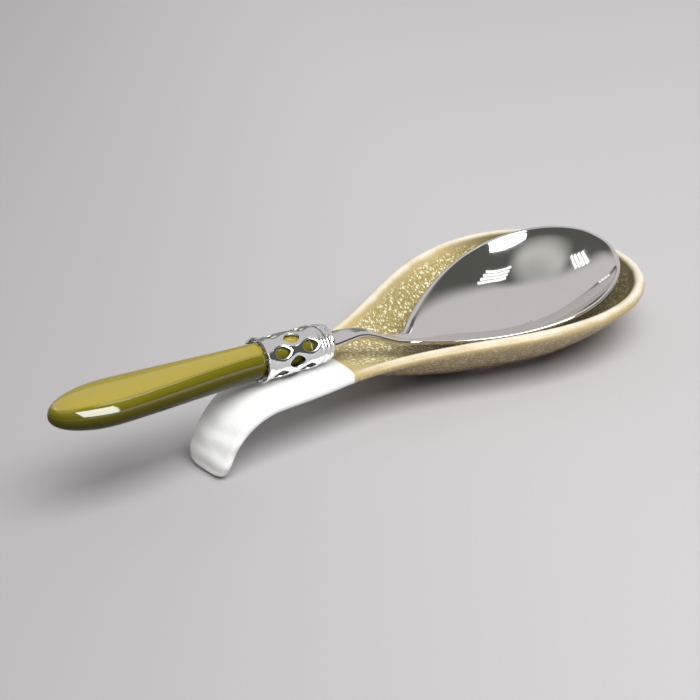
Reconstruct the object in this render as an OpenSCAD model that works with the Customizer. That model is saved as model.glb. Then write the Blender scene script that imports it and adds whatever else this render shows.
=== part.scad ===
// Spoon rest in two-colour glazed stoneware, with its serving spoon lying in the dish.
// Millimetres. +Z is up and +X runs from the handle towards the tip of the dish.
// The origin is on the table, under the widest line of the dish.

/* [Dish] */
// Width across the rim
dish_w = 91; // [88:1:96]
// Run of the rim from its widest line to the tip
dish_front_l = 50.5; // [49:0.5:55]
// Run over which the rim narrows to the handle
dish_rear_l = 108; // [104:1:114]
// Roundness of the front of the rim, where 2 is an ellipse
dish_round = 2.15; // [2:0.05:2.4]
// Height of the rim above the table
rim_z = 24.5; // [23.5:0.5:26]
// Thickness of the wall and of the handle
wall_t = 4.8; // [4.4:0.2:5.4]
// Thickness of the floor
floor_t = 6; // [5.5:0.5:7]
// Width of the flat base
base_w = 42; // [38:1:46]
// Height of the foot pad that lifts the wall off the table
pad_h = 1.5; // [1:0.1:2]
// Run of the slope round the edge of the foot pad
pad_slope_l = 1.2; // [0.8:0.1:1.6]
// Run over which the foot pad fades out at the back
pad_run = 7; // [5:0.5:9]
// Width of the flat floor inside
floor_w = 25; // [22:1:30]
// Run of the base behind the widest line, before the underside rises
base_rear_l = 45; // [42:1:48]
// Run of the floor behind the widest line, before it rises to the crest
floor_rear_l = 32; // [29:1:34]

/* [Rest handle] */
// Width at the crest
crest_w = 30; // [28:1:32]
// Width at the foot
foot_w = 21; // [19:1:24]
// Rise of the middle of the handle above its edges
handle_crown = 1; // [0.6:0.1:1.6]
// Length of the level crest behind the dish
crest_l = 25; // [23:0.5:29]
// Run from the narrow end of the dish to where the crest is level
crest_lead = 7.5; // [6:0.5:9]
// Radius of the curl, at the middle of its thickness
curl_r = 25; // [24:1:29]
// Run of the rounding at the end of the foot
foot_round_l = 7.5; // [6:0.5:9]

/* [Spoon bowl] */
// Length of the bowl from the neck to the tip
bowl_l = 97; // [93:1:99]
// Width of the bowl
bowl_w = 63; // [60:1:65]
// Distance of the widest line from the neck
bowl_wide_x = 61; // [57:1:64]
// Roundness of the front of the bowl, where 2 is an ellipse
bowl_round = 2.05; // [1.9:0.05:2.3]
// Curve of the shoulders, where 1 is straight
shoulder_curve = 1.8; // [1.5:0.1:2.2]
// Depth of the bowl below its rim
bowl_deep = 18; // [16:0.5:19]
// Thickness of the steel at the rim
bowl_t = 1.6; // [1.4:0.1:2]

/* [Spoon neck] */
// Length of the neck between the collar and the bowl
neck_l = 40; // [38:1:43]
// Straight run of the neck ahead of the collar
neck_level = 12; // [9:1:15]
// Width at the collar
neck_root_w = 10.4; // [9.8:0.2:11]
// Width at the waist
neck_waist_w = 5.8; // [5.4:0.2:6.6]
// Width where the neck meets the bowl
neck_joint_w = 8.4; // [7.6:0.1:9.2]
// Thickness of the neck
neck_t = 3.2; // [2.8:0.2:3.6]
// Drop of the neck from the handle line to the bowl
neck_drop = 8.6; // [7.5:0.1:9.5]
// Rise of the bowl's rim from the neck to the tip
bowl_rise = 22.5; // [21:0.5:24]
// Slope of the rim line where the neck meets the bowl
joint_slope = 0.12; // [0.06:0.02:0.2]
// Slope of the rim line at the tip of the bowl
tip_slope = 0.33; // [0.25:0.01:0.4]

/* [Ferrule] */
// Length of the pierced sleeve
ferrule_l = 23.2; // [22:0.2:26]
// Outside radius of the sleeve
ferrule_r = 7; // [6.8:0.1:7.4]
// Wall of the sleeve
ferrule_t = 0.9; // [0.8:0.1:1]
// Outside radius of the flared mouth
mouth_r = 8.1; // [7.9:0.1:8.5]
// Windows in each of the three rows
window_n = 5; // [4:1:5]
// Width of a window
window_w = 4.5; // [4:0.1:5]
// Plain band at the front of the sleeve
band_l = 0.8; // [0.6:0.1:1.4]
// Plain band between the windows and the flared mouth
rear_band_l = 0.3; // [0.2:0.1:0.8]
// Lap of neighbouring rows of windows along the sleeve
window_lap = 1.1; // [0.4:0.1:1.4]
// Turn of the first row of windows away from the top, in degrees
window_turn = 53; // [40:1:66]
// Length of the flared mouth
flare_l = 3.2; // [2.6:0.2:4]
// Depth of the scallops in the mouth
scallop_deep = 0.8; // [0.6:0.1:1]
// Length of the collar that closes the sleeve
collar_l = 7.4; // [6.6:0.2:8.2]
// Rise of the collar's beads above the sleeve
bead_rise = 0.2; // [0.1:0.1:0.5]
// Drop of the front bead below the others
bead_step = 0.5; // [0.3:0.1:0.8]
// Run of the eased front edge of the sleeve
sleeve_ease_l = 0.6; // [0.4:0.1:0.8]
// Drop of the eased front edge of the sleeve
sleeve_ease = 0.3; // [0.2:0.1:0.4]

/* [Grip] */
// Length of the grip behind the ferrule
grip_l = 80; // [74:1:92]
// Width of the paddle
paddle_w = 19.8; // [18:0.2:23]
// Thickness of the paddle
paddle_t = 13.8; // [12.4:0.2:15]
// Squareness of the paddle's section, where 2 is an ellipse
paddle_square = 2.1; // [2:0.1:2.8]
// Run over which the grip swells to the paddle
swell_l = 65; // [56:1:72]
// Run of the rounding at the tip
tip_l = 22.8; // [18:0.2:26]
// Roundness of the tip, where 2 is an ellipse
tip_round = 2; // [1.9:0.1:2.6]
// Run by which the rounding at the tip stops short of a point
tip_flat = 0.1; // [0.05:0.05:0.3]
// Length of the tang beyond the collar
tang_l = 44; // [36:1:50]
// Width of the tang
tang_w = 5; // [4.4:0.2:5.4]
// Thickness of the tang
tang_t = 2.4; // [2:0.2:2.6]

/* [Lie of the spoon] */
// Turn of the spoon away from the long axis, in degrees
lie_yaw = -3.6; // [-4:0.2:-2.6]
// Lean of the spoon towards the near wall, in degrees
lie_roll = 4; // [2:0.5:5]
// Station of the ferrule's front on the long axis
lie_x = -103; // [-105:0.5:-102]
// Clearance between the spoon and the rest
lie_gap = 0.35; // [0.3:0.05:0.5]

/* [Fits] */
// Radial clearance of the spigot in the sleeve
spigot_gap = 0.12; // [0.08:0.02:0.2]
// Radial clearance of the grip in the flared mouth
mouth_gap = 0.7; // [0.5:0.1:0.9]
// Resin around the tang
resin_t = 0.6; // [0.5:0.1:0.8]
// Clearance between seated faces
seat_gap = 0.03; // [0.02:0.01:0.05]

/* [Hidden] */
$fn = 72;
half_w = dish_w / 2;
lip_r = wall_t / 2;
lip_z = rim_z - lip_r;
curl_x = -dish_rear_l - crest_l;
handle_edge_r = lip_r - handle_crown / 2;
curl_a = acos((curl_r - lip_z + handle_edge_r) / (curl_r - handle_crown / 2));
end_x = curl_x - curl_r * curl_a * PI / 180 + handle_crown / 2;
crest_x = -dish_rear_l - crest_lead;
base_share = base_w / dish_w;
pad_share = (base_w - 2 * pad_slope_l) / dish_w;
floor_share = floor_w / (dish_w - 2 * wall_t);
tip_x = neck_l + bowl_l;
wide_x = neck_l + bowl_wide_x;
sleeve_x = -collar_l;
mouth_x = sleeve_x - ferrule_l;
bead_r = ferrule_r + bead_rise;
bead_w = collar_l / 3;
spigot_r = ferrule_r - ferrule_t - spigot_gap;
grip_r = mouth_r - ferrule_t - mouth_gap;
grip_x = mouth_x + mouth_gap;
grip_end = mouth_x - grip_l;
window_z = ferrule_r / 2;
window_step = (ferrule_l - flare_l - band_l - rear_band_l - window_lap) / 3;
window_l = window_step + window_lap;
scallop_r = mouth_r * PI / window_n / 2 * 0.9;

// Common shaping functions
function unit(t) = max(0, min(1, t));
function ease(t) = let (u = unit(t)) u * u * (3 - 2 * u);
function mix(a, b, t) = a + (b - a) * t;
function hermite(t, l, a, ma, b, mb) =
    let (t2 = t * t, t3 = t2 * t)
    a * (2 * t3 - 3 * t2 + 1) + ma * l * (t3 - 2 * t2 + t)
    + b * (3 * t2 - 2 * t3) + mb * l * (t3 - t2);
function oval(a, p) = [pow(abs(cos(a)), 2 / p), pow(abs(sin(a)), 2 / p)];
function whole(half) = [each half, for (i = [len(half) - 2:-1:1]) [half[i].x, -half[i].y]];
function normals(o) =
    let (m = len(o))
    [for (i = [0:m - 1]) let (d = o[(i + 1) % m] - o[(i + m - 1) % m]) [d.y, -d.x] / norm(d)];

// Loops of a dished plate: its underside from the middle out, its round edge, its top back to the middle
function plate(o, edge, pull, under, over, shares, arcs) =
    let (n = normals(o), m = len(o) - 1)
    [
        for (s = shares)
            [for (i = [0:m])
                let (
                    e = edge(o[i].x),
                    p = pull(o[i] - n[i] * e[0] * (1 - cos(e[2])), s)
                )
                [p.x, p.y, under(p.x, s, e[0] * sin(e[2]))]],
        for (k = [0:arcs])
            [for (i = [0:m])
                let (
                    e = edge(o[i].x),
                    a = mix(e[2], e[3], k / arcs),
                    p = o[i] - n[i] * e[0] * (1 - cos(a))
                )
                [p.x, p.y, e[1] + e[0] * sin(a)]],
        for (j = [len(shares) - 1:-1:0])
            [for (i = [0:m])
                let (
                    e = edge(o[i].x),
                    p = pull(o[i] - n[i] * e[0] * (1 - cos(e[3])), shares[j])
                )
                [p.x, p.y, over(p.x, shares[j], e[0] * sin(e[3]))]]
    ];

// Closed skin over a row of loops that are mirrored about their first point
module skin(loops) {
    m = len(loops[0]);
    h = m / 2;
    k_end = len(loops) - 1;
    top = k_end * m;
    polyhedron(
        points = [for (loop = loops) each loop],
        faces = [
            for (k = [0:k_end - 1], i = [0:m - 1])
                let (a = k * m + i, b = k * m + (i + 1) % m)
                each [[a, a + m, b + m], [a, b + m, b]],
            [0, 1, m - 1],
            for (i = [1:h - 2]) each [[i, i + 1, m - i - 1], [i, m - i - 1, m - i]],
            [h - 1, h, h + 1],
            [top, top + m - 1, top + 1],
            for (i = [1:h - 2])
                each [[top + i, top + m - i - 1, top + i + 1], [top + i, top + m - i, top + m - i - 1]],
            [top + h - 1, top + h + 1, top + h]
        ],
        convexity = 8
    );
}

// Half width of the rest at a station behind its widest line
function rest_half_w(x) =
    x > -dish_rear_l
        ? mix(crest_w / 2, half_w, (1 + cos(180 * x / dish_rear_l)) / 2)
        : mix(crest_w / 2, foot_w / 2, ease((-x - dish_rear_l) / (-end_x - dish_rear_l)));

// Plan of the rest, laid out flat, from the tip of the dish to the end of the foot
rest_plan = whole([
    for (i = [0:13]) let (v = oval(90 * i / 14, dish_round)) [dish_front_l * v.x, half_w * v.y],
    for (i = [0:15]) let (x = -dish_rear_l * i / 16) [x, rest_half_w(x)],
    for (i = [0:13]) let (x = mix(-dish_rear_l, end_x + foot_round_l, i / 14)) [x, rest_half_w(x)],
    for (i = [0:8])
        let (v = oval(90 * i / 8, 3.4))
        [end_x + foot_round_l - (foot_round_l + lip_r) * v.y, rest_half_w(end_x + foot_round_l) * v.x]
]);

// Rise of the underside and of the floor from the dish to the level of the handle, from 0 to 1
function under_rise(x) = ease((x + base_rear_l) / (crest_x + base_rear_l));
function over_rise(x) = ease((x + floor_rear_l) / (crest_x + floor_rear_l));

// Edge of the rest: radius, height, first angle and last angle of its rounding
rest_edge = function (x)
    let (b = under_rise(x), c = handle_crown / 2 * b)
    [lip_r - c, lip_z - c, mix(-40, -90, b), mix(140, 90, b)];

// Share of the half width taken by the base at a station
function base_part(x) = base_share * (1 - 0.7 * ease((-x / dish_rear_l - 0.12) / 0.5));

// Share of the half width at which a loop of the skin runs, so that one loop follows the base
function rest_share(x, s) =
    s < base_share ? s * base_part(x) / base_share : mix(1, base_part(x), (1 - s) / (1 - base_share));

// Plan point drawn in towards the spine of the rest
rest_pull = function (p, s)
    let (e = end_x + foot_round_l, t = rest_share(p.x, s))
    [p.x > 0 ? p.x * t : p.x < e ? e + (p.x - e) * t : p.x, p.y * t];

// Height of the underside: the foot pad, then the wall
rest_under = function (x, s, z)
    let (u = unit((s - base_share) / (1 - base_share)))
    mix(
        s <= pad_share
            ? pad_h * ease((-x - base_rear_l) / pad_run + 1)
            : mix(pad_h, lip_z + z, pow(u, 1.4)),
        lip_z - lip_r,
        under_rise(x)
    );

// Height of the top at a share of the half width: the floor, the wall and the crowned handle
function top_line(x, t, z) =
    mix(
        mix(floor_t, lip_z + z, pow(unit((t - floor_share) / (1 - floor_share)), 1.7)),
        rim_z - handle_crown * t * t,
        over_rise(x)
    );

rest_over = function (x, s, z) top_line(x, rest_share(x, s), z);

// Height of the top at a point of the plan
function rest_top(x, y) =
    let (
        e = rest_edge(x),
        inset = e[0] * (1 - cos(e[3])),
        v = abs(y) / ((x > 0 ? half_w : rest_half_w(x)) - inset),
        u = max(0, x) / (dish_front_l - inset),
        t = x > 0 ? pow(pow(u, dish_round) + pow(v, dish_round), 1 / dish_round) : v
    )
    t > 1 ? rim_z : top_line(x, t, e[0] * sin(e[3]));

// Point of the flat layout carried round the curl of the handle
function curl(p) =
    p.x > curl_x
        ? p
        : let (a = (curl_x - p.x) / curl_r * 180 / PI, r = curl_r + p.z - lip_z)
            [curl_x - r * sin(a), p.y, lip_z - curl_r + r * cos(a)];

rest_shares = [0.1, 0.24, 0.36, pad_share, base_share, 0.57, 0.67, 0.77, 0.87, 0.95];

module rest_dish() {
    color("tan")
    skin([
        for (loop = plate(rest_plan, rest_edge, rest_pull, rest_under, rest_over, rest_shares, 8))
            [for (p = loop) curl(p)]
    ]);
}

// Height of the spoon's rim line, with the handle's axis at zero
function rim_line(x) =
    let (arch_l = neck_l - neck_level, tip_z = bowl_rise - neck_drop)
    x < neck_l
        ? hermite(unit((x - neck_level) / arch_l), arch_l, 0, 0, -neck_drop, joint_slope)
        : hermite(unit((x - neck_l) / bowl_l), bowl_l, -neck_drop, joint_slope, tip_z, tip_slope);

// Share of the neck in the section at a station
function neck_share(x) = ease((neck_l + 8 - x) / 18);

// Plan of the spoon's head from the tip of the bowl to the root of the neck
head_plan = whole([
    for (i = [0:15])
        let (v = oval(90 * i / 16, bowl_round))
        [mix(wide_x, tip_x, v.x), bowl_w / 2 * v.y],
    for (i = [0:17])
        let (u = i / 18)
        [mix(wide_x, neck_l, u), mix(bowl_w, neck_joint_w, pow(u, shoulder_curve)) / 2],
    for (i = [0:11])
        let (t = i / 11, x = mix(neck_l, -2, t), w = mix(neck_waist_w, neck_root_w, ease(2 * t - 1)))
        [x, mix(w, neck_joint_w, pow(unit(1 - t * 3), 2)) / 2],
    [-3, 0]
]);

head_edge = function (x)
    let (b = neck_share(x))
    [mix(bowl_t, neck_t, b) / 2, rim_line(x), mix(-42, -90, b), mix(140, 90, b)];

head_pull = function (p, s) [p.x > wide_x ? mix(wide_x, p.x, s) : p.x, p.y * s];

function head_depth(x) = pow(sin(90 * unit((x - neck_l + 6) / (bowl_wide_x + 6))), 1.3);

function bowl_line(x, s, deep) = rim_line(x) - deep * head_depth(x) * (1 - pow(s, 2.2));

head_under = function (x, s, z) z + bowl_line(x, s, bowl_deep + bowl_t / 2);

head_over = function (x, s, z) z + bowl_line(x, s, bowl_deep);

head_loops = plate(head_plan, head_edge, head_pull, head_under, head_over,
    [0.08, 0.24, 0.4, 0.55, 0.7, 0.82, 0.91, 0.97], 6);

// Underside and edge of the head, leaned over by the roll
head_leaned = [
    for (k = [0:11])
        each [for (p = head_loops[k])
            [p.x, p.y * cos(lie_roll) - p.z * sin(lie_roll), p.y * sin(lie_roll) + p.z * cos(lie_roll)]]
];

// Outside radius of the collar and the sleeve at a distance behind the collar's front
function sleeve_r(d) = d < collar_l ? bead_r : d < collar_l + ferrule_l - flare_l ? ferrule_r : mouth_r;

// Height of the handle's axis at the collar for the ferrule to clear the crest at a pitch
function crest_lift(t) =
    max([for (d = [0:1:collar_l + ferrule_l])
        curl([lie_x - d, 0, top_line(lie_x - d, 0, 0)]).z + (sleeve_r(d) + lie_gap) / cos(t) + d * tan(t)]);

// Least height of the head above the rest when the spoon is pitched by an angle
function head_clear(t) =
    let (z = crest_lift(t))
    min([for (p = head_leaned)
        let (
            r = p.x * cos(t) - p.z * sin(t),
            x = lie_x + r * cos(lie_yaw) - p.y * sin(lie_yaw),
            y = r * sin(lie_yaw) + p.y * cos(lie_yaw)
        )
        z + p.x * sin(t) + p.z * cos(t) - rest_top(x, y)]);

// Pitch at which the head just clears the floor and the wall as well
function settle(lo, hi, n) =
    let (t = (lo + hi) / 2)
    n == 0 ? t : head_clear(t) > lie_gap ? settle(lo, t, n - 1) : settle(t, hi, n - 1);

lie_pitch = settle(-16, 4, 14);
lie_z = crest_lift(lie_pitch);

module laid() {
    translate([lie_x, 0, lie_z])
        rotate([0, 0, lie_yaw])
            rotate([0, -lie_pitch, 0])
                rotate([lie_roll, 0, 0])
                    children();
}

module spoon_head() {
    color("silver")
    laid() {
        difference() {
            skin(head_loops);
            translate([seat_gap - neck_root_w, -neck_root_w, -neck_root_w])
                cube([neck_root_w, neck_root_w * 2, neck_root_w * 2]);
        }
        translate([-collar_l - tang_l, -tang_w / 2, -tang_t / 2])
            cube([collar_l + tang_l + 2, tang_w, tang_t]);
    }
}

module neck_collar() {
    color("gainsboro")
    laid()
        difference() {
            rotate([0, -90, 0])
                rotate_extrude()
                    union() {
                        square([bead_r - bead_w / 2, collar_l]);
                        for (k = [0:2])
                            translate([bead_r - bead_w / 2 - (k == 0 ? bead_step : 0), bead_w * (k + 0.5)])
                                circle(d = bead_w);
                    }
            translate([-collar_l * 2, -tang_w / 2 - seat_gap, -tang_t / 2 - seat_gap])
                cube([collar_l * 3, tang_w + 2 * seat_gap, tang_t + 2 * seat_gap]);
        }
}

// Cutter for an eye-shaped window that runs along the sleeve
module window(l, w) {
    r = (l * l + w * w) / (4 * w);
    intersection() {
        translate([0, r - w / 2, window_z])
            cylinder(r = r, h = mouth_r);
        translate([0, w / 2 - r, window_z])
            cylinder(r = r, h = mouth_r);
    }
}

module pierced_ferrule() {
    color("whitesmoke")
    laid()
        translate([sleeve_x - seat_gap, 0, 0])
            difference() {
                rotate([0, -90, 0])
                    rotate_extrude()
                        polygon([
                            [ferrule_r - ferrule_t, 0],
                            [ferrule_r - sleeve_ease, 0],
                            [ferrule_r, sleeve_ease_l],
                            [ferrule_r, ferrule_l - flare_l],
                            [mouth_r, ferrule_l],
                            [mouth_r - ferrule_t, ferrule_l],
                            [ferrule_r - ferrule_t, ferrule_l - flare_l]
                        ]);
                for (row = [0:2], i = [0:window_n - 1])
                    rotate([window_turn + (i + row / 2) * 360 / window_n, 0, 0])
                        translate([-band_l - window_l / 2 - window_step * row, 0, 0])
                            window(window_l, window_w);
                for (i = [0:window_n * 2 - 1])
                    rotate([(i + 0.5) * 180 / window_n, 0, 0])
                        translate([-ferrule_l - scallop_r + scallop_deep, 0, window_z])
                            cylinder(r = scallop_r, h = mouth_r);
            }
}

module handle_grip() {
    color("olive")
    laid()
        difference() {
            union() {
                grip_body();
                translate([grip_x - 1, 0, 0])
                    rotate([0, 90, 0])
                        cylinder(r = spigot_r, h = sleeve_x - seat_gap * 2 - grip_x + 1);
            }
            translate([-collar_l - tang_l - resin_t, -tang_w / 2 - resin_t, -tang_t / 2 - resin_t])
                cube([tang_l + resin_t + 1, tang_w + 2 * resin_t, tang_t + 2 * resin_t]);
        }
}

// Grip lofted from a round root to a flat paddle with a rounded tip
module grip_body() {
    m = 40;
    stations = 26;
    loops = [
        for (k = [0:stations])
            let (
                x = mix(grip_x, grip_end, sin(90 * k / stations)),
                f = ease((grip_x - x) / swell_l),
                d = unit((grip_end + tip_l - x) / (tip_l + tip_flat)),
                tip = pow(1 - pow(d, tip_round), 1 / tip_round),
                a = mix(grip_r, paddle_w / 2, f) * tip,
                b = mix(grip_r, paddle_t / 2, f) * pow(tip, 0.8),
                p = mix(2, paddle_square, ease((grip_x - x) / swell_l * 2))
            )
            [for (i = [0:m - 1])
                let (g = 360 * i / m, v = oval(g, p))
                [x, -a * v.x * sign(cos(g)), b * v.y * sign(sin(g))]]
    ];
    skin(loops);
}

module tang_resin() {
    color("wheat")
    laid()
        difference() {
            translate([-collar_l - tang_l - resin_t, -tang_w / 2 - resin_t, -tang_t / 2 - resin_t])
                cube([tang_l + resin_t - seat_gap, tang_w + 2 * resin_t, tang_t + 2 * resin_t]);
            translate([-collar_l - tang_l, -tang_w / 2, -tang_t / 2])
                cube([tang_l + 1, tang_w, tang_t]);
        }
}

rest_dish();
spoon_head();
neck_collar();
pierced_ferrule();
handle_grip();
tang_resin();
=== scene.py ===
"""Looks of a glazed stoneware spoon rest and the serving spoon that lies in it.

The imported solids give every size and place. This file adds the finishes, the fine metalwork,
the studio and the camera, all in metres and in the frame of the solids.
"""

import logging
import math
from dataclasses import dataclass, field
from enum import Enum
from typing import Any, Callable, Iterable, Optional, Sequence, Union

import bmesh
import bpy
import numpy as np
from mathutils import Matrix, Quaternion, Vector


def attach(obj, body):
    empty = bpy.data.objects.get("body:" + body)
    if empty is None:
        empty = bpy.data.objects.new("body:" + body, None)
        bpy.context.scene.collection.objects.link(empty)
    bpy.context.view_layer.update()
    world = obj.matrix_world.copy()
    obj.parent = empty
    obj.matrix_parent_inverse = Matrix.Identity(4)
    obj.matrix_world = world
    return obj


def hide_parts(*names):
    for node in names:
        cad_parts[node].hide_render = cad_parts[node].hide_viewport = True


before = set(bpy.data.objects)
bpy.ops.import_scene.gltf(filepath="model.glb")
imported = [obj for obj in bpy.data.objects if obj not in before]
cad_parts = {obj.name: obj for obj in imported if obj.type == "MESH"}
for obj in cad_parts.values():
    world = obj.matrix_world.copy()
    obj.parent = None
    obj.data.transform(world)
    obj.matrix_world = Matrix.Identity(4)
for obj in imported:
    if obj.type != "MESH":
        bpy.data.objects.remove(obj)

LOG = logging.getLogger("spoon_rest")
MM = 0.001
Colour = tuple[float, float, float]
Counts = tuple[float, float, float]
Range = tuple[float, float]
Stop = tuple[float, Colour]
WHITE: Colour = (1.0, 1.0, 1.0)
Value = Union["Wire", float, Sequence[float]]


class Body(Enum):
    """Bodies of the frame that a piece can ride on."""

    REST = "rest"
    SPOON = "spoon"


class Slot(Enum):
    """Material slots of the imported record."""

    STONEWARE = "stoneware"
    STEEL = "steel"
    PLATING = "plating"
    ACRYLIC = "acrylic"
    RESIN = "resin"


class Wire:
    """A shader socket that takes part in Python expressions."""

    def __init__(self, board: "Board", socket: bpy.types.NodeSocket) -> None:
        """Keeps the socket and the board that it is on."""
        self.board = board
        self.socket = socket

    def _math(self, operation: str, *values: Value) -> "Wire":
        """Adds a Math node over the given values."""
        return self.board.node("ShaderNodeMath", {"operation": operation}, dict(enumerate(values)))

    def __add__(self, other: Value) -> "Wire":
        """Sum of two values."""
        return self._math("ADD", self, other)

    def __radd__(self, other: Value) -> "Wire":
        """Sum with a number in front."""
        return self._math("ADD", other, self)

    def __sub__(self, other: Value) -> "Wire":
        """Difference of two values."""
        return self._math("SUBTRACT", self, other)

    def __rsub__(self, other: Value) -> "Wire":
        """Difference from a number in front."""
        return self._math("SUBTRACT", other, self)

    def __mul__(self, other: Value) -> "Wire":
        """Product of two values."""
        return self._math("MULTIPLY", self, other)

    def __rmul__(self, other: Value) -> "Wire":
        """Product with a number in front."""
        return self._math("MULTIPLY", other, self)

    def __truediv__(self, other: Value) -> "Wire":
        """Quotient of two values."""
        return self._math("DIVIDE", self, other)

    def __rtruediv__(self, other: Value) -> "Wire":
        """Quotient with a number in front."""
        return self._math("DIVIDE", other, self)

    def most(self, other: Value) -> "Wire":
        """Larger of two values."""
        return self._math("MAXIMUM", self, other)

    def sine(self) -> "Wire":
        """Sine of this value in radians."""
        return self._math("SINE", self)

    def step(self, low: float, high: float) -> "Wire":
        """Smooth step of this value.

        Args:
            low: Value at which the step is 0.
            high: Value at which the step is 1. It may lie below low.

        Returns:
            A value from 0 to 1.
        """
        ends = {"Value": self, "From Min": min(low, high), "From Max": max(low, high)}
        ends["To Min"], ends["To Max"] = (0.0, 1.0) if low < high else (1.0, 0.0)
        return self.board.node("ShaderNodeMapRange", {"interpolation_type": "SMOOTHSTEP"}, ends)

    def between(self, first: Value, second: Value) -> "Wire":
        """Colour mixed from first, where this value is 0, to second, where it is 1."""
        settings = {"data_type": "RGBA"}
        return self.board.node("ShaderNodeMix", settings, {0: self, 6: first, 7: second}, output=2)


class Board:
    """Node tree of a material or of the world."""

    def __init__(self, tree: bpy.types.NodeTree) -> None:
        """Clears the tree to build on."""
        self.tree = tree
        self.tree.nodes.clear()

    def node(
        self,
        kind: str,
        settings: Optional[dict[str, Any]] = None,
        inputs: Optional[dict[Union[str, int], Value]] = None,
        output: Union[str, int] = 0,
    ) -> Wire:
        """Adds one node.

        Args:
            kind: Type name of the node.
            settings: Properties of the node, set before its sockets. A ramp takes "stops".
            inputs: Values or wires of its input sockets, by name or by number.
            output: Output socket to return.

        Returns:
            The chosen output.
        """
        made = self.tree.nodes.new(kind)
        for name, value in (settings or {}).items():
            if name == "stops":
                self._set_stops(made.color_ramp, value)
            else:
                setattr(made, name, value)
        for key, value in (inputs or {}).items():
            self._feed(made.inputs[key], value)
        return Wire(self, made.outputs[output]) if made.outputs else Wire(self, None)

    def _feed(self, socket: bpy.types.NodeSocket, value: Value) -> None:
        """Links a wire to a socket, or sets its number or colour.

        Args:
            socket: Input socket of a node.
            value: Wire to link, or the value to set.
        """
        if isinstance(value, Wire):
            self.tree.links.new(value.socket, socket)
        elif socket.type == "RGBA":
            socket.default_value = (*value[:3], 1.0)
        else:
            socket.default_value = value

    @staticmethod
    def _set_stops(ramp: bpy.types.ColorRamp, stops: Sequence[Stop]) -> None:
        """Gives a colour ramp its stops.

        Args:
            ramp: New ramp, with the two stops that it comes with.
            stops: Places and colours, in rising order.
        """
        while len(ramp.elements) < len(stops):
            ramp.elements.new(1.0)
        for element, (place, colour) in zip(ramp.elements, stops):
            element.position = place
            element.color = (*colour, 1.0)

    def coordinates(self) -> Wire:
        """Object coordinates, in metres."""
        return self.node("ShaderNodeTexCoord", output="Object")

    def axes(self, point: Wire) -> tuple[Wire, Wire, Wire]:
        """X, Y and Z of a point, in millimetres."""
        split = self.node("ShaderNodeSeparateXYZ", inputs={0: point}).socket.node
        return tuple(Wire(self, out) * 1000.0 for out in split.outputs)

    def stretched(self, point: Wire, scale: Sequence[float], turn: float = 0.0) -> Wire:
        """Point scaled along each axis, in counts per metre, after a turn about Z in radians."""
        settings = {"vector_type": "POINT"}
        return self.node("ShaderNodeMapping", settings, {0: point, "Rotation": (0, 0, turn), "Scale": scale})

    def warped(self, point: Wire, scale: float, reach: float) -> Wire:
        """Pushes a point about by a noise.

        Args:
            point: Place on the surface.
            scale: Scale of the noise, in counts per metre.
            reach: Longest push along each axis, in metres.

        Returns:
            The place after the push.
        """
        inputs = {"Vector": point, "Scale": scale, "Detail": 1.0}
        push = self.node("ShaderNodeTexNoise", inputs=inputs, output="Color")
        inputs = {0: push, 1: (reach,) * 3, 2: point}
        return self.node("ShaderNodeVectorMath", {"operation": "MULTIPLY_ADD"}, inputs)

    def dot(self, first: Value, second: Value) -> Wire:
        """Dot product of two vectors."""
        settings = {"operation": "DOT_PRODUCT"}
        return self.node("ShaderNodeVectorMath", settings, {0: first, 1: second}, output="Value")

    def noise(self, point: Wire, scale: float, detail: float = 2.0, roughness: float = 0.5) -> Wire:
        """Noise from 0 to 1 with a scale in counts per metre."""
        inputs = {"Vector": point, "Scale": scale, "Detail": detail, "Roughness": roughness}
        return self.node("ShaderNodeTexNoise", inputs=inputs)

    def flecks(self, point: Wire, scale: float, size: float, share: float) -> Wire:
        """Round flecks scattered over a surface.

        Args:
            point: Place on the surface.
            scale: Cells per metre.
            size: Radius of the largest fleck, in cells.
            share: Share of the cells that hold a fleck.

        Returns:
            1 within a fleck and 0 outside.
        """
        inputs = {"Vector": point, "Scale": scale}
        cell = self.node("ShaderNodeTexVoronoi", {"feature": "F1"}, inputs).socket.node
        colour = Wire(self, cell.outputs["Color"])
        chance = self.node("ShaderNodeSeparateColor", inputs={0: colour}).socket.node
        radius = (Wire(self, chance.outputs[1]) * 0.6 + 0.4) * size
        inside = (radius - Wire(self, cell.outputs["Distance"])).step(0.0, size * 0.35)
        return inside * Wire(self, chance.outputs[0]).step(share + 0.02, share - 0.02)

    def ramp(self, value: Wire, *stops: Stop) -> Wire:
        """Colour ramp over a value."""
        return self.node("ShaderNodeValToRGB", {"stops": stops}, {0: value})

    def bump(self, height: Wire, depth: float, strength: float = 1.0) -> Wire:
        """Normal bent by a height, whose full step is a depth in metres."""
        return self.node("ShaderNodeBump", inputs={"Height": height, "Distance": depth, "Strength": strength})

    def surface(self, **sockets: Value) -> None:
        """Ends the tree in a Principled surface.

        Args:
            sockets: Values or wires by socket name, with underscores for spaces.
        """
        inputs = {name.replace("_", " "): value for name, value in sockets.items()}
        shader = self.node("ShaderNodeBsdfPrincipled", inputs=inputs)
        self.node("ShaderNodeOutputMaterial", inputs={"Surface": shader})


@dataclass(frozen=True)
class Finish:
    """A finish that can be made into a material."""

    name: str

    def material(self) -> bpy.types.Material:
        """Makes the material.

        Returns:
            A new material with its nodes.
        """
        made = bpy.data.materials.new(self.name)
        made.use_nodes = True
        self.paint(Board(made.node_tree))
        return made

    def paint(self, board: Board) -> None:
        """Builds the nodes of the finish.

        Args:
            board: Cleared board to build on.
        """
        raise NotImplementedError


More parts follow.
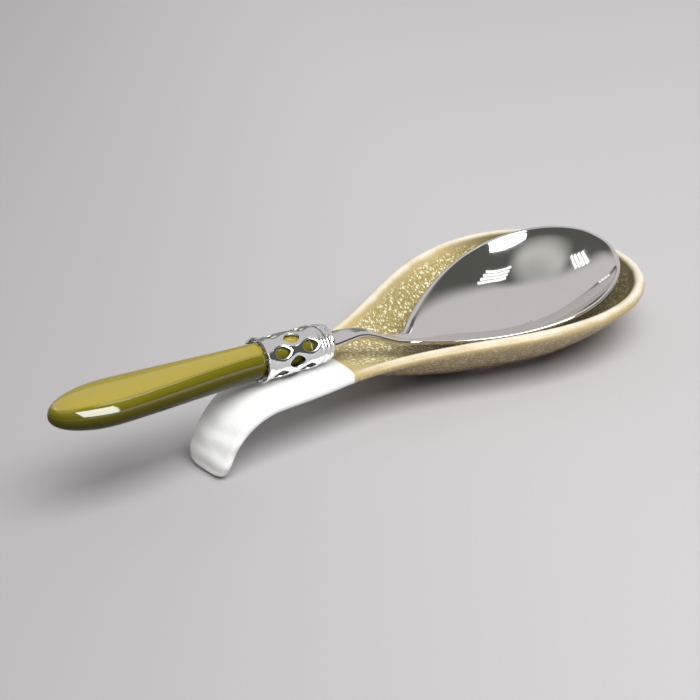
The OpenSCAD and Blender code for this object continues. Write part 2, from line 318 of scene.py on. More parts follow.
@dataclass(frozen=True)
class Stoneware(Finish):
    """Speckled olive glaze in the dish and white glaze on the handle, over a pale clay.

    Places are in millimetres and scales in counts per metre. Places named with a share, and the
    stops of the olive glazes, are shares of the height of the rim.
    """

    rim_z: float
    border_x: float = -98.5
    border_bow: float = 0.02
    border_stray: float = 1.6
    border_soft: float = 0.35
    # Painted shade with pooled glaze in the tip of the hollow: where it starts along X and how far up it
    # reaches.
    pool_and_shade_x: Range = (-12.0, 30.0)
    pool_and_shade_share: Range = (0.995, 0.945)
    speck_share: Range = (0.94, 0.84)
    foot_x: float = -142.0
    foot_l: float = 12.0
    foot_z: Range = (1.5, 4.0)
    foot_bare: float = 1.3
    bare_soft: float = 0.5
    ripple_l: float = 6.4
    ripple_stray: float = 4.0
    cloud_n: float = 90.0
    grain_n: float = 1500.0
    broad_n: float = 800.0
    fine_n: float = 1500.0
    iron_n: float = 900.0
    wander: float = 1.1 * MM
    relief_deep: float = 0.22 * MM
    # Dark olive of glaze pooled in the tip, made darker still as painted shade.
    pool_and_shade_tone: Colour = (0.078, 0.059, 0.010)
    cream: Colour = (0.80, 0.735, 0.61)
    bead: Colour = (0.94, 0.89, 0.66)
    chalk: Colour = (0.91, 0.91, 0.90)
    white: Colour = (0.94, 0.94, 0.93)
    clay: Colour = (0.74, 0.63, 0.58)
    iron: Colour = (0.34, 0.25, 0.20)
    within: tuple[Stop, ...] = (
        (0.25, (0.225, 0.172, 0.058)),
        (0.55, (0.325, 0.255, 0.086)),
        (0.84, (0.415, 0.323, 0.115)),
        (0.94, (0.545, 0.430, 0.200)),
    )
    # Outer glaze, darker towards the foot: partly its own colour and partly painted shade of the wall as it
    # turns to face down.
    without: tuple[Stop, ...] = (
        (0.05, (0.130, 0.090, 0.048)),
        (0.45, (0.335, 0.230, 0.100)),
        (0.80, (0.395, 0.282, 0.112)),
        (0.94, (0.560, 0.435, 0.220)),
    )
    cream_within: float = 1.0
    cream_without: float = 0.995

    def paint(self, board: Board) -> None:
        """Paints two glazes that meet on a line across the handle, with the clay bare under the foot.

        Args:
            board: Cleared board to build on.
        """
        point = board.coordinates()
        x, y, z = board.axes(point)
        cloud = board.noise(point, self.cloud_n, 4.0)
        grain = board.noise(point, self.grain_n, 3.0, 0.6)
        line = x + y * y * self.border_bow + (cloud - 0.5) * self.border_stray
        white = line.step(self.border_x + self.border_soft, self.border_x - self.border_soft)
        olive, speck = self.olive(board, cloud, grain)
        chalk = (cloud * 0.5 + grain * 0.5).between(self.chalk, self.white)
        body = board.flecks(point, self.iron_n, 0.22, 0.12).between(self.clay, self.iron)
        worn = z + (grain - 0.5) * 0.8
        bare = worn.step(self.foot_bare + self.bare_soft, self.foot_bare - self.bare_soft)
        ripple = ((z + cloud * self.ripple_stray) * (2 * math.pi / self.ripple_l)).sine()
        ripple = ripple * x.step(self.foot_x, self.foot_x - self.foot_l) * z.step(*self.foot_z)
        relief = speck * (1.0 - white) * 0.4 + cloud * 0.9 + grain * (0.15 + bare * 0.6) + ripple * 1.3
        board.surface(
            Base_Color=bare.between(white.between(olive, chalk), body),
            Roughness=bare * 0.55 + (1.0 - bare) * (0.13 + grain * 0.10),
            IOR=1.42,
            Normal=board.bump(relief, self.relief_deep, 0.8),
        )

    def olive(self, board: Board, cloud: Wire, grain: Wire) -> tuple[Wire, Wire]:
        """Mixes the speckled glaze, darker in the tip of the hollow as pooled glaze and as painted shade, and
        pale on the rim.

        Args:
            board: Board to build on.
            cloud: Broad noise over the surface.
            grain: Fine noise over the surface.

        Returns:
            The colour of the glaze, and a value that is highest within a speck.
        """
        point = board.coordinates()
        x, _, z = board.axes(point)
        height = z / self.rim_z
        drift = height + (cloud - 0.5) * 0.09 + (grain - 0.5) * 0.05
        inside = board.node("ShaderNodeAttribute", {"attribute_name": StonewareRest.INSIDE}, output="Fac")
        within = board.ramp(drift, *self.within, (self.cream_within, self.cream))
        # The outer ramp carries painted shade towards the foot.
        without = board.ramp(drift, *self.without, (self.cream_without, self.cream))
        # Pooled glaze and painted shade darken the tip of the hollow and thin its specks.
        pool_and_shade_mask = x.step(*self.pool_and_shade_x) * (height + (cloud - 0.5) * 0.03).step(*self.pool_and_shade_share) * inside
        below = (drift + (1.0 - inside) * 0.01).step(*self.speck_share)
        strayed = board.warped(point, self.broad_n, self.wander)
        broad = board.flecks(strayed, self.broad_n, 0.66, 0.92)
        fine = board.flecks(strayed, self.fine_n, 0.55, 0.70)
        speck = broad.most(fine * 0.6) * (inside * 0.44 + 0.46) * below * (1.0 - pool_and_shade_mask * 0.78)
        glaze = inside.between(without, (pool_and_shade_mask * 0.95).between(within, self.pool_and_shade_tone))
        return speck.between(glaze, self.bead), speck


@dataclass(frozen=True)
class PolishedSteel(Finish):
    """Mirror-polished stainless steel with faint polishing marks and smears."""

    tone: Colour = (0.80, 0.785, 0.775)
    smeared: Colour = (0.76, 0.75, 0.74)
    dusty: Colour = (0.90, 0.90, 0.88)
    smear_n: float = 55.0
    dust_n: float = 420.0
    mark_n: Counts = (60.0, 2600.0, 2600.0)
    mark_turn: float = 0.06
    mark_deep: float = 0.0035 * MM

    def paint(self, board: Board) -> None:
        """Paints a mirror whose gloss varies a little.

        Args:
            board: Cleared board to build on.
        """
        point = board.coordinates()
        smear = board.noise(point, self.smear_n, 4.0, 0.6).step(0.35, 0.75)
        marks = board.noise(board.stretched(point, self.mark_n, self.mark_turn), 1.0, 2.0)
        dust = board.flecks(point, self.dust_n, 0.07, 0.12)
        board.surface(
            Base_Color=dust.between((smear * 0.5).between(self.tone, self.smeared), self.dusty),
            Metallic=1.0,
            Roughness=0.035 + smear * 0.030 + marks * 0.020 + dust * 0.3,
            Normal=board.bump(marks, self.mark_deep, 0.5),
        )


@dataclass(frozen=True)
class ChromePlate(Finish):
    """Bright chrome plate over a casting."""

    tone: Colour = (0.80, 0.805, 0.815)
    dulled: Colour = (0.74, 0.75, 0.77)
    haze_n: float = 160.0
    wave_n: float = 420.0
    wave_deep: float = 0.06 * MM

    def paint(self, board: Board) -> None:
        """Paints a mirror with the soft waves of a casting and dull pockets.

        Args:
            board: Cleared board to build on.
        """
        point = board.coordinates()
        waves = board.noise(point, self.wave_n, 2.0)
        haze = board.noise(point, self.haze_n, 3.0).step(0.45, 0.8)
        board.surface(
            Base_Color=(haze * 0.4).between(self.tone, self.dulled),
            Metallic=1.0,
            Roughness=0.06 + haze * 0.06,
            Normal=board.bump(waves, self.wave_deep, 0.6),
        )


@dataclass(frozen=True)
class OliveAcrylic(Finish):
    """Olive acrylic under a clear gloss, with painted light: paler on its crown as a painted reflection of
    the backdrop, darker down its flanks as painted shade.
    """

    # Painted light: the crown colour stands for the pale backdrop mirrored on the top, and flank, side and
    # belly for shade that deepens downwards; the belly colour also tints the dark streaks.
    crown_painted_reflection: Colour = (0.385, 0.304, 0.016)
    flank_painted_shade: Colour = (0.190, 0.165, 0.002)
    side: Colour = (0.108, 0.096, 0.001)
    belly_shade_and_streak: Colour = (0.045, 0.039, 0.001)
    dusty: Colour = (0.60, 0.56, 0.30)
    up: tuple[float, float, float] = (0.078, -0.070, 0.994)
    painted_reflection_from: Range = (0.73, 0.84)
    gloss_from: Range = (0.12, 0.34)
    streak_n: Counts = (14.0, 120.0, 120.0)
    streak_turn: float = 0.06
    streak_deep: float = 0.04 * MM
    scuff_n: Counts = (900.0, 160.0, 900.0)
    scuff_turn: float = 0.4
    dust_n: float = 330.0

    def paint(self, board: Board) -> None:
        """Paints olive with slow streaks along the grip, fine scuffs and dust, over painted shade and a
        painted reflection set by which way the surface faces.

        Args:
            board: Cleared board to build on.
        """
        point = board.coordinates()
        streak = board.noise(board.stretched(point, self.streak_n, self.streak_turn), 1.0, 3.0)
        scuff = board.noise(board.stretched(point, self.scuff_n, self.scuff_turn), 1.0, 2.0).step(0.70, 0.86)
        dust = board.flecks(point, self.dust_n, 0.06, 0.10)
        facing = board.dot(board.node("ShaderNodeNewGeometry", output="Normal"), self.up)
        around = facing * 0.5 + 0.5
        # Painted shade and painted reflection: colour by how far the surface faces up.
        side = board.ramp(around, (0.25, self.belly_shade_and_streak), (0.66, self.side), (0.84, self.flank_painted_shade))
        body = (facing + (streak - 0.5) * 0.02).step(*self.painted_reflection_from).between(side, self.crown_painted_reflection)
        board.surface(
            Base_Color=dust.between((streak * 0.2).between(body, self.belly_shade_and_streak), self.dusty),
            Roughness=0.05 + scuff * 0.05 + dust * 0.25,
            IOR=1.22,
            Coat_Weight=facing.step(*self.gloss_from),
            Coat_IOR=1.85,
            Normal=board.bump(streak, self.streak_deep, 0.4),
        )


@dataclass(frozen=True)
class CastResin(Finish):
    """Dull amber bond round the tang."""

    amber: Colour = (0.42, 0.31, 0.15)
    filler: Colour = (0.58, 0.46, 0.26)
    cloud_n: float = 700.0
    cloud_deep: float = 0.1 * MM

    def paint(self, board: Board) -> None:
        """Paints amber with cloudy filler.

        Args:
            board: Cleared board to build on.
        """
        cloud = board.noise(board.coordinates(), self.cloud_n, 3.0)
        board.surface(
            Base_Color=cloud.between(self.amber, self.filler),
            Roughness=0.42 + cloud * 0.2,
            Normal=board.bump(cloud, self.cloud_deep, 0.6),
        )


@dataclass(frozen=True)
class StudioPaper(Finish):
    """Pale grey paper that the object stands on."""

    tone: Colour = (0.538, 0.521, 0.531)
    fibre: Colour = (0.38, 0.37, 0.375)
    fibre_n: float = 1300.0
    fibre_deep: float = 0.08 * MM
    # Painted shade: share of the tone left on the darker side, for lamp falloff.
    shade: float = 0.73
    across: tuple[float, float, float] = (0.862, -0.507, 0.0)
    painted_shade_reach: Range = (-0.27, 0.02)

    def paint(self, board: Board) -> None:
        """Paints grey with a faint fibre, with painted shade that makes it a little darker on one side.

        Args:
            board: Cleared board to build on.
        """
        point = board.coordinates()
        fibre = board.noise(point, self.fibre_n, 3.0, 0.7)
        painted_shade_tone = tuple(part * self.shade for part in self.tone)
        # Painted shade: darker towards one side, for lamp falloff.
        tone = board.dot(point, self.across).step(*self.painted_shade_reach).between(painted_shade_tone, self.tone)
        board.surface(
            Base_Color=(fibre.step(0.30, 0.70) * 0.14).between(tone, self.fibre),
            Roughness=0.82,
            Normal=board.bump(fibre, self.fibre_deep, 0.3),
        )


class Shape:
    """A mesh in the making, with the operators that the pieces share."""

    WELD = 0.004 * MM
    SPUN_WELD = 0.002 * MM
    FLAT_ANGLE = math.radians(35)
    QUAD_ANGLE = math.radians(120)

    def __init__(self) -> None:
        """Starts with an empty mesh."""
        self.bm = bmesh.new()

    @classmethod
    def of_node(cls, node: str) -> "Shape":
        """Copies a solid of the frame, with its loose triangles joined into quads.

        Args:
            node: Name of the solid.

        Returns:
            A closed shape of its own.
        """
        shape = cls()
        shape.bm.from_mesh(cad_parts[node].data)
        bmesh.ops.remove_doubles(shape.bm, verts=shape.bm.verts, dist=cls.WELD)
        bmesh.ops.join_triangles(
            shape.bm,
            faces=shape.bm.faces,
            angle_face_threshold=cls.FLAT_ANGLE,
            angle_shape_threshold=cls.QUAD_ANGLE,
        )
        return shape

    def crease(self, angle: float) -> None:
        """Creases the sharp edges.

        Args:
            angle: Angle between two faces, in degrees, above which their edge is sharp.
        """
        layer = self.bm.edges.layers.float.new("crease_edge")
        self.bm.normal_update()
        for edge in self.bm.edges:
            if edge.is_manifold and edge.calc_face_angle(0.0) > math.radians(angle):
                edge[layer] = 1.0

    def move(self, rule: Callable[[Vector], Vector]) -> None:
        """Moves each vertex by a rule."""
        for vertex in self.bm.verts:
            vertex.co = rule(vertex.co)

    def spun(self, profile: Iterable[tuple[float, float]], steps: int) -> None:
        """Turns a profile about the X axis into a closed solid.

        Args:
            profile: Points as distance along X and radius, in metres, that start and end on the axis.
            steps: Steps of the full turn.
        """
        points = [self.bm.verts.new((x, 0.0, r)) for x, r in profile]
        edges = [self.bm.edges.new(pair) for pair in zip(points, points[1:])]
        bmesh.ops.spin(
            self.bm,
            geom=points + edges,
            cent=(0, 0, 0),
            axis=(1, 0, 0),
            angle=2 * math.pi,
            steps=steps,
            use_merge=True,
        )
        bmesh.ops.remove_doubles(self.bm, verts=self.bm.verts, dist=self.SPUN_WELD)
        bmesh.ops.recalc_face_normals(self.bm, faces=self.bm.faces)

    def piece(self, name: str, finish: Finish, levels: int = 0) -> bpy.types.Object:
        """Makes the object of this shape.

        Args:
            name: Name of the piece.
            finish: Its finish.
            levels: Levels of subdivision.

        Returns:
            The object, at the origin, in the scene.
        """
        mesh = bpy.data.meshes.new(name)
        self.bm.to_mesh(mesh)
        self.bm.free()
        mesh.shade_smooth()
        mesh.materials.append(finish.material())
        made = bpy.data.objects.new(name, mesh)
        bpy.context.scene.collection.objects.link(made)
        if levels:
            smooth = made.modifiers.new("smooth", "SUBSURF")
            smooth.levels = smooth.render_levels = levels
        return made


def seat(piece: bpy.types.Object, body: Body, slot: Slot, *nodes: str) -> bpy.types.Object:
    """Puts a piece on its body in place of solids of the frame.

    Args:
        piece: The finished piece.
        body: Body that it moves with.
        slot: Material slot that its finish answers to; not used.
        nodes: Solids that it stands for.

    Returns:
        The same piece.
    """
    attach(piece, body.value)
    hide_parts(*nodes)
    LOG.info("%s: %d faces on %s", piece.name, len(piece.data.polygons), body.value)
    return piece


@dataclass
class StonewareRest:
    """The dish with its curled handle, one piece of glazed clay."""

    INSIDE = "inside"
    crease_angle: float = 60.0
    levels: int = 2
    spine_rear: float = -90.0 * MM
    spine_front: float = 8.0 * MM
    spine_w: float = 7.0 * MM

    def build(self) -> bpy.types.Object:
        """Builds the rest.

        Returns:
            The piece.
        """
        shape = Shape.of_node("rest_dish")
        shape.crease(self.crease_angle)
        top = max(vertex.co.z for vertex in shape.bm.verts)
        piece = shape.piece("glazed_rest", Stoneware("speckled_glaze", top / MM), self.levels)
        self.mark_inside(piece.data)
        return seat(piece, Body.REST, Slot.STONEWARE, "rest_dish")

    def mark_inside(self, mesh: bpy.types.Mesh) -> None:
        """Marks the vertices of the hollow, which look up and towards the spine of the dish.

        Args:
            mesh: Mesh of the rest.
        """
        mark = mesh.attributes.new(self.INSIDE, "FLOAT", "POINT")
        for vertex in mesh.vertices:
            spine = min(max(vertex.co.x, self.spine_rear), self.spine_front)
            outward = Vector((vertex.co.x - spine, vertex.co.y, 0.0))
            inward = vertex.normal.dot(outward) <= 0.0 or outward.length < self.spine_w
            hollow = vertex.normal.z > 0.0 and inward
            mark.data[vertex.index].value = 1.0 if hollow else 0.0


@dataclass
class SpoonAxis:
    """Frame of the spoon: its origin at the front of the collar, +X towards the bowl."""

    collar_l: float
    seat_gap: float

    def matrix(self) -> Matrix:
        """Reads the lie of the spoon from the bond round its tang, which is square to the spoon.

        Returns:
            Transform from the spoon's own frame to the frame of the solids.
        """
        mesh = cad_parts["tang_resin"].data
        points = np.unique(np.round([v.co for v in mesh.vertices], 7), axis=0)
        centre = points.mean(axis=0)
        _, turned = np.linalg.eigh(np.cov((points - centre).T))
        along, up = turned[:, 2], turned[:, 0]
        along = along * math.copysign(1.0, along[0])
        up = up * math.copysign(1.0, up[2])
        across = np.cross(up, along)
        front = ((points - centre) @ along).max() + self.collar_l + self.seat_gap
        origin = centre + along * front
        return Matrix.Translation(origin) @ Matrix(np.column_stack([along, across, up])).to_4x4()


@dataclass
class ServingSpoon:
    """Steel head, chrome collar and ferrule, and olive grip."""

    collar_l: float = 7.4 * MM
    bead_r: float = 7.2 * MM
    bead_n: int = 3
    bead_step: float = 0.5 * MM
    bead_share: float = 0.8
    arc_n: int = 9
    arc_in: float = 0.4
    flute_n: int = 12
    flute_steps: int = 8
    flute_deep: float = 0.32 * MM
    flute_twist: float = 1.6
    flute_share: float = 0.36
    core_share: float = 0.7
    ferrule_l: float = 23.2 * MM
    ferrule_r: float = 7.0 * MM
    ferrule_t: float = 0.9 * MM
    mouth_r: float = 7.6 * MM
    flare_l: float = 3.2 * MM
    flare_n: int = 3
    flare_curve: float = 1.4
    band_l: float = 0.8 * MM
    rear_band_l: float = 0.3 * MM
    window_n: int = 5
    window_rows: int = 3
    window_lap: float = 1.1 * MM
    window_turn: float = 53.0
    window_w: float = 4.5 * MM
    strap_w: float = 0.8 * MM
    strap_rise: float = 0.24 * MM
    strap_cuts: int = 3
    scallop_deep: float = 0.5 * MM
    scallop_from: float = 0.4
    seat_gap: float = 0.03 * MM
    weld: float = 0.01 * MM
    crease_angle: float = 48.0
    levels: int = 2
    chrome: ChromePlate = ChromePlate("bright_chrome")
    lie: Matrix = field(init=False)

    def __post_init__(self) -> None:
        """Finds the lie of the spoon."""
        self.lie = SpoonAxis(self.collar_l, self.seat_gap).matrix()

    def build(self) -> list[bpy.types.Object]:
        """Builds the spoon.

        Returns:
            Its pieces, from the bowl to the grip.
        """
        return [self.head(), self.collar(), self.ferrule(), self.grip(), self.bond()]

    def head(self) -> bpy.types.Object:
        """Builds the bowl, neck and tang in mirror-polished steel.

        Returns:
            The piece.
        """
        shape = Shape.of_node("spoon_head")
        shape.crease(self.crease_angle)
        piece = shape.piece("polished_head", PolishedSteel("polished_steel"), self.levels)
        return seat(piece, Body.SPOON, Slot.STEEL, "spoon_head")

    def collar(self) -> bpy.types.Object:
        """Builds the collar of beads, the front one lobed.

        Returns:
            The piece.
        """
        bead = self.collar_l / self.bead_n
        core = self.bead_r - bead * self.bead_share
        profile = [(0.0, 0.0), (0.0, core)]
        for k in range(self.bead_n):
            middle = -bead * (k + 0.5)
            rise = self.bead_r - bead / 2 - (self.bead_step if k == 0 else 0.0)
            for i in range(self.arc_n):
                turn = math.pi * (i + self.arc_in) / (self.arc_n - 1 + 2 * self.arc_in)
                profile.append((middle + math.cos(turn) * bead / 2, rise + math.sin(turn) * bead / 2))
        profile += [(-self.collar_l, core), (-self.collar_l, 0.0)]
        shape = Shape()
        shape.spun(profile, self.flute_n * self.flute_steps)
        shape.move(self.fluted)
        shape.move(self.placed)
        piece = shape.piece("beaded_collar", self.chrome)
        return seat(piece, Body.SPOON, Slot.PLATING, "neck_collar")

    def fluted(self, point: Vector) -> Vector:
        """Draws the front bead in along flutes that part its lobes.

        Args:
            point: Point of the collar, in the spoon's own frame.

        Returns:
            Its new place.
        """
        along = -point.x / self.collar_l
        radius = math.hypot(point.y, point.z)
        if radius < self.bead_r * self.core_share or along > self.flute_share:
            return point
        turn = math.atan2(point.z, point.y) + along * self.flute_twist
        dip = self.flute_deep * (0.5 - 0.5 * math.cos(turn * self.flute_n))
        share = 1.0 - dip / radius
        return Vector((point.x, point.y * share, point.z * share))

    def placed(self, point: Vector) -> Vector:
        """Carries a point from the spoon's own frame to where the spoon lies."""
        return self.lie @ point

    def ferrule(self) -> bpy.types.Object:
        """Builds the openwork sleeve of crossing straps, with its flared and scalloped mouth.

        Returns:
            The piece.
        """
        shape = Shape()
        self.lattice(shape.bm)
        shape.move(self.rolled)
        bmesh.ops.remove_doubles(shape.bm, verts=shape.bm.verts, dist=self.weld)
        bmesh.ops.recalc_face_normals(shape.bm, faces=shape.bm.faces)
        shape.move(self.placed)
        piece = shape.piece("openwork_ferrule", self.chrome)
        wall = piece.modifiers.new("wall", "SOLIDIFY")
        wall.thickness = self.ferrule_t - self.strap_rise
        wall.offset = -1.0
        smooth = piece.modifiers.new("smooth", "SUBSURF")
        smooth.levels = smooth.render_levels = self.levels
        return seat(piece, Body.SPOON, Slot.PLATING, "pierced_ferrule")

    def row_step(self) -> float:
        """Distance between neighbouring rows of windows along the sleeve."""
        run = self.ferrule_l - self.flare_l - self.band_l - self.rear_band_l
        return (run - self.window_lap) / self.window_rows

    def row_place(self, row: int) -> float:
        """Station of a row of windows, counted from the first."""
        return self.band_l + (self.row_step() + self.window_lap) / 2 + self.row_step() * row

    def half_pitch(self) -> float:
        """Half of the distance between neighbouring windows round the sleeve."""
        return math.pi * self.ferrule_r / self.window_n

    def lattice(self, bm: bmesh.types.BMesh) -> None:
        """Lays the sleeve out flat, X along it and Y round it, and opens its windows.

        Z is 0 along the middle of the straps and a millimetre at the edge of a window.

        Args:
            bm: Mesh to fill with the straps, the plain band and the flared mouth.
        """
        cell = Matrix.Diagonal((self.row_step(), self.half_pitch(), 1.0, 1.0))
        for row in range(-1, self.window_rows + 1):
            for i in range(self.window_n):
                place = Matrix.Translation((self.row_place(row), (2 * i + row) * self.half_pitch(), 0.0))
                bmesh.ops.create_circle(bm, cap_ends=True, segments=4, radius=1.0, matrix=place @ cell)
        bmesh.ops.remove_doubles(bm, verts=bm.verts, dist=self.weld)
        throat = self.ferrule_l - self.flare_l
        for place, side in ((0.0, -1.0), (throat, 1.0)):
            geometry = bm.verts[:] + bm.edges[:] + bm.faces[:]
            bmesh.ops.bisect_plane(
                bm, geom=geometry, plane_co=(place, 0, 0), plane_no=(side, 0, 0), clear_outer=True
            )
        windows = [face for face in bm.faces if len(face.verts) > 3]
        bmesh.ops.inset_individual(bm, faces=windows, thickness=self.strap_w, use_even_offset=True)
        for vertex in {v for face in windows for v in face.verts}:
            vertex.co.z = MM
        bmesh.ops.delete(bm, geom=windows, context="FACES")
        steps = range(1, self.flare_n + 1)
        self.draw_out(bm, throat, [throat + self.flare_l * k / self.flare_n for k in steps])
        bmesh.ops.subdivide_edges(bm, edges=bm.edges[:], cuts=self.strap_cuts, use_grid_fill=True)

    def opened(self, point: Vector) -> Vector:
        """Draws a point of the straps towards the eye-shaped edge of the window next to it.

        Args:
            point: Point of the flat layout.

        Returns:
            Its new place in the layout.
        """
        a, b = self.row_step(), self.half_pitch()
        near = []
        for row in range(self.window_rows):
            dx = point.x - self.row_place(row)
            dy = (point.y - row * b + b) % (2 * b) - b
            near.append((abs(dx) / a + abs(dy) / b, row, dx, dy))
        _, row, dx, dy = min(near)
        reach = math.hypot(dx, dy)
        if point.z <= 0.0 or reach < 1e-9:
            return point
        c, s = dx / reach, dy / reach
        rim = 1.0 / (abs(c) / a + abs(s) / b)
        if abs(c) > 1e-6:
            border = self.ferrule_l - self.flare_l if c > 0 else 0.0
            rim = min(rim, (border - self.row_place(row)) / c)
        long, wide = a + self.window_lap, self.window_w
        arc = (long * long + wide * wide) / (4 * wide)
        sink = arc - wide / 2
        edge = math.sqrt(arc * arc - sink * sink * (1 - s * s)) - sink * abs(s)
        moved = rim + (edge - rim) * point.z / MM - reach
        return Vector((point.x + moved * c, point.y + moved * s, point.z))

    @staticmethod
    def draw_out(bm: bmesh.types.BMesh, place: float, stations: Sequence[float]) -> None:
        """Extrudes the straight border at one station to further ones.

        Args:
            bm: Mesh with the border.
            place: Station of the border along X.
            stations: Stations to draw it to, in order.
        """
        border = [e for e in bm.edges if e.is_boundary and all(abs(v.co.x - place) < 1e-6 for v in e.verts)]
        for station in stations:
            made = bmesh.ops.extrude_edge_only(bm, edges=border)["geom"]
            border = [item for item in made if isinstance(item, bmesh.types.BMEdge)]
            for vertex in {v for edge in border for v in edge.verts}:
                vertex.co.x = station

    def rolled(self, point: Vector) -> Vector:
        """Rolls the flat layout round the axis, rounds the straps and flares the mouth.

        Args:
            point: Point of the flat layout.

        Returns:
            Its place in the spoon's own frame.
        """
        spot = self.opened(point)
        turn = spot.y / self.ferrule_r + math.radians(self.window_turn)
        flare = max(0.0, (spot.x - self.ferrule_l + self.flare_l) / self.flare_l)
        radius = self.ferrule_r - self.strap_rise * (spot.z / MM) ** 2
        radius += (self.mouth_r - self.ferrule_r) * flare ** self.flare_curve
        wave = 0.5 - 0.5 * math.cos(turn * self.window_n * 2)
        share = max(0.0, flare - self.scallop_from) / (1.0 - self.scallop_from)
        station = -self.collar_l - self.seat_gap - spot.x + self.scallop_deep * share * wave
        return Vector((station, -radius * math.sin(turn), radius * math.cos(turn)))

    def grip(self) -> bpy.types.Object:
        """Builds the olive grip with the spigot that shows in the windows.

        Returns:
            The piece.
        """
        shape = Shape.of_node("handle_grip")
        shape.crease(self.crease_angle)
        piece = shape.piece("acrylic_grip", OliveAcrylic("olive_acrylic"), self.levels)
        return seat(piece, Body.SPOON, Slot.ACRYLIC, "handle_grip")

    def bond(self) -> bpy.types.Object:
        """Dresses the resin round the tang, left as the solid that it is.

        Returns:
            The solid of the frame.
        """
        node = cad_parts["tang_resin"]
        node.data.materials.clear()
        node.data.materials.append(CastResin("cast_resin").material())
        LOG.info("tang_resin: kept as a solid of the frame")
        return node


def towards(azimuth: float, elevation: float) -> Vector:
    """Unit vector to a point round the object.

    Args:
        azimuth: Degrees round it, where 0 is in front, along -Y, and 90 along +X.
        elevation: Degrees above the horizon.

    Returns:
        The direction from the object.
    """
    a, e = math.radians(azimuth), math.radians(elevation)
    return Vector((math.sin(a) * math.cos(e), -math.cos(a) * math.cos(e), math.sin(e)))


@dataclass(frozen=True)
class Lamp:
    """A rectangular soft lamp, whole or made of strips."""

    name: str
    azimuth: float
    elevation: float
    distance: float
    width: float
    height: float
    watts: float
    tone: Colour = WHITE
    roll: float = 0.0
    strips: int = 1
    strip_share: float = 0.74
    slant: float = 0.0
    mirrored: bool = True
    casts: bool = True

    def hang(self, centre: Vector) -> None:
        """Hangs the lamp round a point.

        Args:
            centre: Point that the lamp faces.
        """
        back = towards(self.azimuth, self.elevation)
        turn = back.to_track_quat("Z", "Y") @ Quaternion((0.0, 0.0, 1.0), math.radians(self.roll))
        pitch = self.height / self.strips
        for i in range(self.strips):
            data = bpy.data.lights.new(f"{self.name}_{i}", "AREA")
            data.shape = "RECTANGLE"
            data.size = self.width
            data.size_y = pitch * (self.strip_share if self.strips > 1 else 1.0)
            data.energy = self.watts / self.strips
            data.color = self.tone
            lamp = bpy.data.objects.new(data.name, data)
            lamp.rotation_euler = turn.to_euler()
            share = (i + 0.5) / self.strips - 0.5
            aside = turn @ Vector((self.slant, self.height, 0.0)) * share
            lamp.location = centre + back * self.distance + aside
            lamp.visible_glossy = self.mirrored
            lamp.visible_diffuse = self.casts
            bpy.context.scene.collection.objects.link(lamp)
        LOG.info("lamp %s: %.1f W", self.name, self.watts)


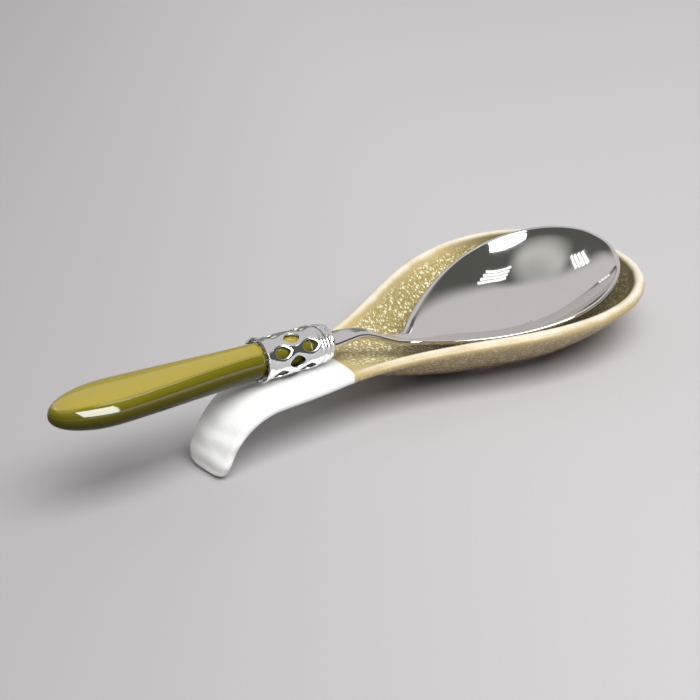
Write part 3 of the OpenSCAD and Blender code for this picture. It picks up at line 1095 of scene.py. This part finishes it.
@dataclass
class Studio:
    """Paper floor, soft lamps, a pale side and a dark side, and the camera."""

    target: Vector = Vector((-79.596 * MM, 13.114 * MM, 14.5 * MM))
    azimuth: float = -41.99
    elevation: float = 27.92
    distance: float = 0.6
    focal_px: float = 1600.0
    frame_px: float = 700.0
    sensor_mm: float = 36.0
    clip: Range = (0.01, 20.0)
    floor_r: float = 4.0
    floor_n: int = 96
    floor_gap: float = 0.02 * MM
    pale: Colour = (0.640, 0.615, 0.615)
    dark: Colour = (0.100, 0.102, 0.092)
    haze: Colour = (0.600, 0.605, 0.580)
    grey: Colour = (0.240, 0.238, 0.240)
    dome_low: float = 0.04
    dome_high: float = 0.36
    paper_way: Range = (132.0, 44.0)
    wall_way: Range = (146.0, 6.0)
    glow_way: Range = (-75.0, 50.0)
    dome_way: Range = (150.0, 60.0)
    lamps: tuple[Lamp, ...] = (
        Lamp(
            name="key", azimuth=-14.0, elevation=63.0, distance=3.20, width=3.20, height=2.20, watts=136.0,
            mirrored=False,
        ),
        Lamp(
            name="softbox", azimuth=-1.2, elevation=26.0, distance=1.36, width=0.94, height=1.02, watts=21.0,
            roll=-20.0, strips=6, strip_share=1.0, slant=-0.43, casts=False,
        ),
        Lamp(
            name="window", azimuth=32.2, elevation=53.4, distance=1.30, width=0.62, height=0.21, watts=0.54,
            tone=(0.95, 1.0, 0.96), roll=-46.6, strips=4, slant=0.22,
        ),
        Lamp(
            name="side", azimuth=-146.1, elevation=48.1, distance=1.31, width=0.38, height=0.15, watts=0.23,
            tone=(0.96, 1.0, 0.96), roll=22.7, strips=4, slant=0.25,
        ),
    )

    def build(self) -> None:
        """Builds the studio round the object."""
        bpy.context.scene.view_settings.view_transform = "Standard"
        self.floor()
        self.room()
        for lamp in self.lamps:
            lamp.hang(self.target)
        self.camera()

    def floor(self) -> None:
        """Paper floor under the object."""
        shape = Shape()
        lowered = Matrix.Translation((0.0, 0.0, -self.floor_gap))
        bmesh.ops.create_circle(
            shape.bm, cap_ends=True, segments=self.floor_n, radius=self.floor_r, matrix=lowered
        )
        shape.piece("paper_floor", StudioPaper("studio_paper"))

    def room(self) -> None:
        """World with paper on the far side, a dark room on the camera's side and a soft dome of light."""
        world = bpy.data.worlds.new("studio")
        world.use_nodes = True
        bpy.context.scene.world = world
        board = Board(world.node_tree)
        way = board.node("ShaderNodeTexCoord", output="Generated")

        def facing(azimuth: float, elevation: float) -> Wire:
            """Cosine of the angle to a direction."""
            return board.dot(way, towards(azimuth, elevation))

        paper = facing(*self.paper_way).step(0.50, 0.66)
        wall = facing(*self.wall_way).step(0.905, 0.935).between(self.pale, self.grey)
        above = facing(0.0, 90.0)
        glow = above.step(0.73, 0.86) * (1.0 - above.step(0.85, 0.96) * 0.30)
        shade = (glow * facing(*self.glow_way).step(0.70, 0.92)).between(self.dark, self.haze)
        seen = board.node("ShaderNodeLightPath", output="Is Camera Ray")
        mirrored = board.node("ShaderNodeLightPath", output="Is Glossy Ray")
        dome = facing(*self.dome_way).step(-0.15, 0.95).between((self.dome_low,) * 3, (self.dome_high,) * 3)
        room = mirrored.between(dome, paper.between(shade, wall))
        colour = seen.between(room, self.pale)
        light = board.node("ShaderNodeBackground", inputs={"Color": colour, "Strength": 1.0})
        board.node("ShaderNodeOutputWorld", inputs={"Surface": light})

    def camera(self) -> None:
        """Camera at the viewing angle of the photograph."""
        data = bpy.data.cameras.new("camera")
        data.sensor_width = self.sensor_mm
        data.lens = self.focal_px / self.frame_px * self.sensor_mm
        data.clip_start, data.clip_end = self.clip
        camera = bpy.data.objects.new("camera", data)
        back = towards(self.azimuth, self.elevation)
        camera.location = self.target + back * self.distance
        camera.rotation_euler = (-back).to_track_quat("-Z", "Y").to_euler()
        bpy.context.scene.collection.objects.link(camera)
        bpy.context.scene.camera = camera


def main() -> None:
    """Builds the object and the studio."""
    logging.basicConfig(level=logging.INFO, format="%(name)s: %(message)s")
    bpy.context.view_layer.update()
    StonewareRest().build()
    ServingSpoon().build()
    Studio().build()


if __name__ == "__main__":
    main()
